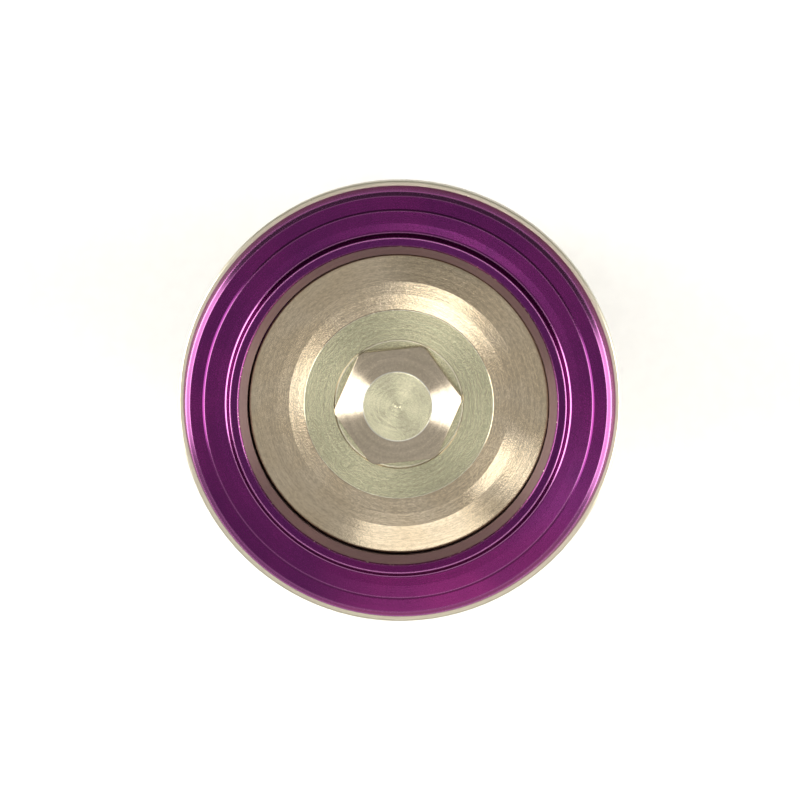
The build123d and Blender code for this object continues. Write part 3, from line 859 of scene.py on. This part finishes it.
# adjuster: hex head with turned corners, cone and centre pip, on a threaded stem
adjuster = {
    "flats": 14.0,
    "cornerRadius": 7.883,
    "coneAngle": 20.0,
    "flatRadius": 4.28,
    "pipRadius": 0.28,
    "pipDepth": 0.05,
    "pipLip": (0.02, 0.05, 0.11),  # its drop, its width, and the ring that holds the flat's shading
    "edge": 0.06,
    "angle": 6.2,
    "headSink": 0.95,
    "stemSink": 0.9,
    "stemRadius": 2.0,
    "stemTip": (0.3, 0.4),
    "stemTipRound": 0.1,
    "shoulder": 0.3,
    "threadDepth": 0.35,
    "threadPitch": 1.5,
    "threadFrom": 90.0,
    "threadTo": 101.6,
    "clipGroove": 1.6,
    "clipGap": 0.025,
    "sharpAngle": 12.0,
}


def makeAdjusterHead(size):
    top = topOf("adjuster_screw")
    bottom = topOf("deflector") - size["headSink"]
    slope = math.tan(math.radians(size["coneAngle"]))
    pip, flat, edge = size["pipRadius"], size["flatRadius"], size["edge"]
    lipDrop, lipWidth, lipSupport = size["pipLip"]
    # a column at every degree, and where the flats run into the turned corners
    angles = set(range(360))
    cornerReach = 30.0 - math.degrees(math.acos(size["flats"] / 2.0 / size["cornerRadius"]))
    for corner in range(6):
        for side in (-1.0, 1.0):
            angles.add(round((corner * 60.0 + side * cornerReach) % 360.0, 3))
    angles = sorted(angles)

    def wallRadius(angle):
        fromFlat = math.radians(angle % 60.0 - 30.0)
        return min(size["cornerRadius"], size["flats"] / 2.0 / math.cos(fromFlat))

    def onCone(radius):
        return (radius, top - (radius - flat) * slope)

    def profile(wall):
        wallTop = onCone(wall)[1]
        return [
            (pip, top - lipDrop),
            (pip + lipWidth, top),
            (pip + lipSupport, top),
            (flat - edge * 2.0, top),
            (flat - edge, top),
            (flat, top - edge * 0.12),
            onCone(flat + edge),
            onCone(flat + edge * 2.0),
            onCone(wall - edge * 2.0),
            onCone(wall - edge),
            (wall - edge * 0.3, wallTop - edge * 0.25),
            (wall, wallTop - edge),
            (wall, bottom + edge),
            (wall - edge, bottom),
            (size["stemRadius"] - size["shoulder"], bottom),
        ]

    work = bmesh.new()
    columns = [profile(wallRadius(angle)) for angle in angles]
    rings = []
    for level in zip(*columns):
        ring = []
        for angle, (radius, height) in zip(angles, level):
            spun = math.radians(angle + size["angle"])
            x, y = radius * math.cos(spun), radius * math.sin(spun)
            ring.append(work.verts.new((x * mm, y * mm, height * mm)))
        rings.append(ring)
    count = len(angles)
    for first, second in zip(rings, rings[1:]):
        for step in range(count):
            following = (step + 1) % count
            work.faces.new((first[step], first[following], second[following], second[step]))
    pipFloor = work.verts.new((0.0, 0.0, (top - size["pipDepth"]) * mm))
    hub = work.verts.new((0.0, 0.0, bottom * mm))
    for step in range(count):
        following = (step + 1) % count
        work.faces.new((rings[0][following], rings[0][step], pipFloor))
        work.faces.new((rings[-1][step], rings[-1][following], hub))
    return finishMesh("adjusterHead", work, "hexNickel", size["sharpAngle"])


def makeAdjusterStem(size):
    tip, top = bottomOf("adjuster_screw"), topOf("deflector") - size["stemSink"]
    radius, root = size["stemRadius"], size["stemRadius"] - size["threadDepth"]
    groove, gap = size["clipGroove"], size["clipGap"]
    clipTop, clipLow = topOf("stem_clip") + gap, bottomOf("stem_clip") - gap
    tipWidth, tipHeight = size["stemTip"]
    return turnPiece("adjusterStem", [
        (0.0, tip),
        (root - tipWidth, tip, size["stemTipRound"]),
        (root, tip + tipHeight),
        (root, size["threadTo"]),
        (radius, size["threadTo"] + size["shoulder"]),
        (radius, clipLow),
        (groove, clipLow),
        (groove, clipTop),
        (radius, clipTop),
        (radius, top),
        (0.0, top),
    ], "hexNickel", stemSteps)


head = makeAdjusterHead(adjuster)
stem = makeAdjusterStem(adjuster)
stemThread = threadRidge("stemThread", {
    "radius": adjuster["stemRadius"] - adjuster["threadDepth"],
    "depth": adjuster["threadDepth"],
    "pitch": adjuster["threadPitch"],
    "inward": False,
    "from": adjuster["threadFrom"],
    "to": adjuster["threadTo"],
}, "hexNickel")
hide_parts("adjuster_screw")
for made in (head, stem, stemThread):
    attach(made, "adjuster")


# inlet thread: ridges of a G 1/2 pipe thread on the plain bore
inletThread = {
    "radius": 10.48,
    "depth": 1.16,
    "pitch": 1.814,
    "inward": True,
    "from": 1.3,
    "to": 11.4,
}
ridge = threadRidge("inletThread", inletThread, "flangeNickel")
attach(ridge, "housing")


# retract spring: open coils with one closed coil at each end
springWire = {
    "wire": 1.4,
    "openTurns": 6.5,
    "closedTurns": 1.0,
    "closedPitch": 1.02,  # of the wire
    "seatThickness": 0.8,
    "topGap": 0.05,
    "sides": 14,
    "perTurn": 56,
}


def makeSpring(size):
    low = bottomOf("lower_spring_seat") + size["seatThickness"]
    high = bottomOf("upper_spring_seat") - size["topGap"]
    half = size["wire"] / 2.0
    radius = radiusOf("retract_spring") - half
    closed = size["closedTurns"]
    turns = size["openTurns"] + 2.0 * closed
    rise = high - low - size["wire"]
    closedRise = size["wire"] * size["closedPitch"] * closed
    path = []
    count = math.ceil(turns * size["perTurn"])
    for step in range(count + 1):
        turn = turns * step / count
        if turn < closed:
            height = closedRise * turn / closed
        elif turn > turns - closed:
            height = rise - closedRise * (turns - turn) / closed
        else:
            share = (turn - closed) / size["openTurns"]
            height = closedRise + (rise - 2.0 * closedRise) * share
        path.append((radius, 2.0 * math.pi * turn, low + half + height, 1.0))
    section = []
    for side in range(size["sides"]):
        angle = 2.0 * math.pi * side / size["sides"]
        section.append((half * math.cos(angle), half * math.sin(angle)))
    piece = tubeAlong("springCoil", path, section, "stainlessSteel")
    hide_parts("retract_spring")
    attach(piece, "housing")
    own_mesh(piece)


makeSpring(springWire)


# studio: pale floor, sky with two tall bright sides, and small lights overhead
studio = {
    "floorSize": 6.0,
    "floorColour": colour(0.86, 0.86, 0.86),
    "toothColour": colour(0.84, 0.84, 0.84),
    "toothSize": 0.002,
    "skyColour": colour(1.0, 0.985, 0.955),
    "skyTop": 0.47,
    "skyFront": 0.50,
    "skyBack": 0.10,
    "backSpan": (-0.6, 0.6),
    "skyBelow": 0.55,
    "belowSpan": (-0.2, -0.5),
    "topSpan": (0.15, 0.6),
    "darkCard": {"right": 3.6, "up": 12.0, "from": 8.5, "to": 4.0, "level": 0.6},
    "sideLight": 4.3,
    "sideAngle": 173.0,
    "sideWidth": 22.0,
    "sideBlur": 3.0,
    "sideEnds": [(33.0, 37.0), (112.0, 104.0)],  # where each end starts and is at its full, in degrees
    "floorLight": {"width": 60.0, "brightness": 1.85, "distance": 1.6},
    "lightColour": (1.0, 0.98, 0.94),
}


def makeFloor(size):
    half = size["floorSize"] / 2.0
    corners = [(-half, -half, 0), (half, -half, 0), (half, half, 0), (-half, half, 0)]
    mesh = bpy.data.meshes.new("floor")
    mesh.from_pydata(corners, [], [(0, 1, 2, 3)])
    material, tree, shader = newMaterial("floorPaper", Roughness=0.9)
    tooth = remap(tree, grainNoise(tree, axisPlace(tree), size["toothSize"]), *noiseSpan)
    base = mixColour(tree, tooth, size["floorColour"], size["toothColour"])
    tree.links.new(base, shader.inputs["Base Color"])
    mesh.materials.append(material)
    floor = bpy.data.objects.new("floor", mesh)
    bpy.context.scene.collection.objects.link(floor)
    floor.visible_glossy = False


def cosine(degrees):
    return math.cos(math.radians(degrees))


# how far directions point along one axis
def toward(tree, directions, axis):
    total = times(tree, directions[0], axis[0])
    for direction, share in zip(directions[1:], axis[1:]):
        total = plus(tree, total, times(tree, direction, share))
    return total


# a direction tipped right and up from straight above, in degrees
def tippedUp(right, up):
    x, y = math.sin(math.radians(right)), math.sin(math.radians(up))
    return Vector((x, y, math.sqrt(1.0 - x * x - y * y)))


def makeSky(size):
    world = bpy.data.worlds.new("studioSky")
    bpy.context.scene.world = world
    world.use_nodes = True
    tree = world.node_tree
    background = tree.nodes["Background"]
    direction = addNode(tree, "TexCoord").outputs["Generated"]
    x, y, z = addNode(tree, "SeparateXYZ", {"Vector": direction}).outputs
    flat = calc(tree, "MAXIMUM", flatLength(tree, x, y), 1e-4)
    # how near the direction is to the line through both bright sides
    turn = math.radians(size["sideAngle"])
    along = calc(tree, "DIVIDE", toward(tree, (x, y), (math.cos(turn), math.sin(turn))), flat)
    width, blur = size["sideWidth"], size["sideBlur"]
    side = remap(tree, calc(tree, "ABSOLUTE", along), cosine(width + blur), cosine(width - blur))
    for start, full in size["sideEnds"]:
        side = times(tree, side, remap(tree, z, cosine(start), cosine(full)))
    # the rest goes from the overhead grey to a dimmer horizon, darkest at the back
    behind = calc(tree, "DIVIDE", y, flat)
    back = remap(tree, behind, *size["backSpan"], size["skyFront"], size["skyBack"])
    upper = remap(tree, z, *size["topSpan"])
    level = plus(tree, times(tree, calc(tree, "SUBTRACT", 1.0, upper), back),
                 times(tree, upper, size["skyTop"]))
    # a dark card over the head
    card = size["darkCard"]
    facing = toward(tree, (x, y, z), tippedUp(card["right"], card["up"]))
    level = times(tree, level, remap(
        tree, facing, cosine(card["from"]), cosine(card["to"]), 1.0, card["level"]))
    # under the horizon it stands in for the pale floor
    level = plus(tree, level, remap(tree, z, *size["belowSpan"], 0.0, size["skyBelow"]))
    level = plus(tree, times(tree, calc(tree, "SUBTRACT", 1.0, side), level),
                 times(tree, side, size["sideLight"]))
    background.inputs["Color"].default_value = size["skyColour"]
    tree.links.new(level, background.inputs["Strength"])
    world.cycles.sampling_method = "NONE"


def lookMatrix(place, back, across):
    upward = back.cross(across)
    turned = Matrix((across, upward, back)).transposed()
    return Matrix.Translation(place) @ turned.to_4x4()


def makeLight(name, right, up, width, height, brightness, distance=0.8):
    # placed and sized in degrees from straight above the head
    data = bpy.data.lights.new(name, "AREA")
    data.shape = "RECTANGLE"
    data.size = 2.0 * distance * math.tan(math.radians(width / 2.0))
    data.size_y = 2.0 * distance * math.tan(math.radians(height / 2.0))
    data.energy = brightness * math.pi * data.size * data.size_y
    data.color = studio["lightColour"]
    light = bpy.data.objects.new(name, data)
    bpy.context.scene.collection.objects.link(light)
    back = tippedUp(right, up)
    across = Vector((0.0, 1.0, 0.0)).cross(back).normalized()
    light.matrix_world = lookMatrix(Vector((0, 0, cadHigh.z)) + back * distance, back, across)
    light.visible_camera = False
    return light


makeFloor(studio)
makeSky(studio)
overheadLights = {
    "upperLight": {"right": 1.8, "up": 2.4, "width": 6.0, "height": 6.8, "brightness": 3.2},
    "leftLight": {"right": -5.7, "up": -3.9, "width": 3.4, "height": 3.0, "brightness": 3.2},
    "lowerLight": {"right": 1.7, "up": -22.3, "width": 17.0, "height": 6.5, "brightness": 1.35},
    "rightLight": {"right": 10.2, "up": -11.8, "width": 8.0, "height": 5.5, "brightness": 2.5},
}
for name, light in overheadLights.items():
    makeLight(name, **light)
wash = studio["floorLight"]
floorLight = makeLight(
    "floorLight", 0.0, 0.0, wash["width"], wash["width"], wash["brightness"], wash["distance"])
floorLight.visible_glossy = False
print("studio made,", len(overheadLights) + 1, "lights")


# camera: long lens, nearly straight down
cameraView = {
    "tilt": 4.97,  # degrees off the axis, towards the angle below
    "angle": 71.0,
    "distance": 2.2,
    "frameWidth": 0.0996,  # metres across the view at the head
    "sensor": 36.0,
    "aim": (0.00003, 0.00004, -0.0014),  # from the middle of the flange's top
}


def makeCamera(view):
    data = bpy.data.cameras.new("camera")
    data.sensor_width = view["sensor"]
    data.lens = view["sensor"] * view["distance"] / view["frameWidth"]
    data.clip_start, data.clip_end = 0.01, 20.0
    camera = bpy.data.objects.new("camera", data)
    bpy.context.scene.collection.objects.link(camera)
    tilt, around = math.radians(view["tilt"]), math.radians(view["angle"])
    lean = math.sin(tilt)
    back = Vector((lean * math.cos(around), lean * math.sin(around), math.cos(tilt)))
    across = Vector((0.0, 1.0, 0.0)).cross(back).normalized()
    aim = Vector((0.0, 0.0, topOf("housing") * mm)) + Vector(view["aim"])
    camera.matrix_world = lookMatrix(aim + back * view["distance"], back, across)
    bpy.context.scene.camera = camera


makeCamera(cameraView)
bpy.context.scene.view_settings.view_transform = "Standard"
print("camera made")
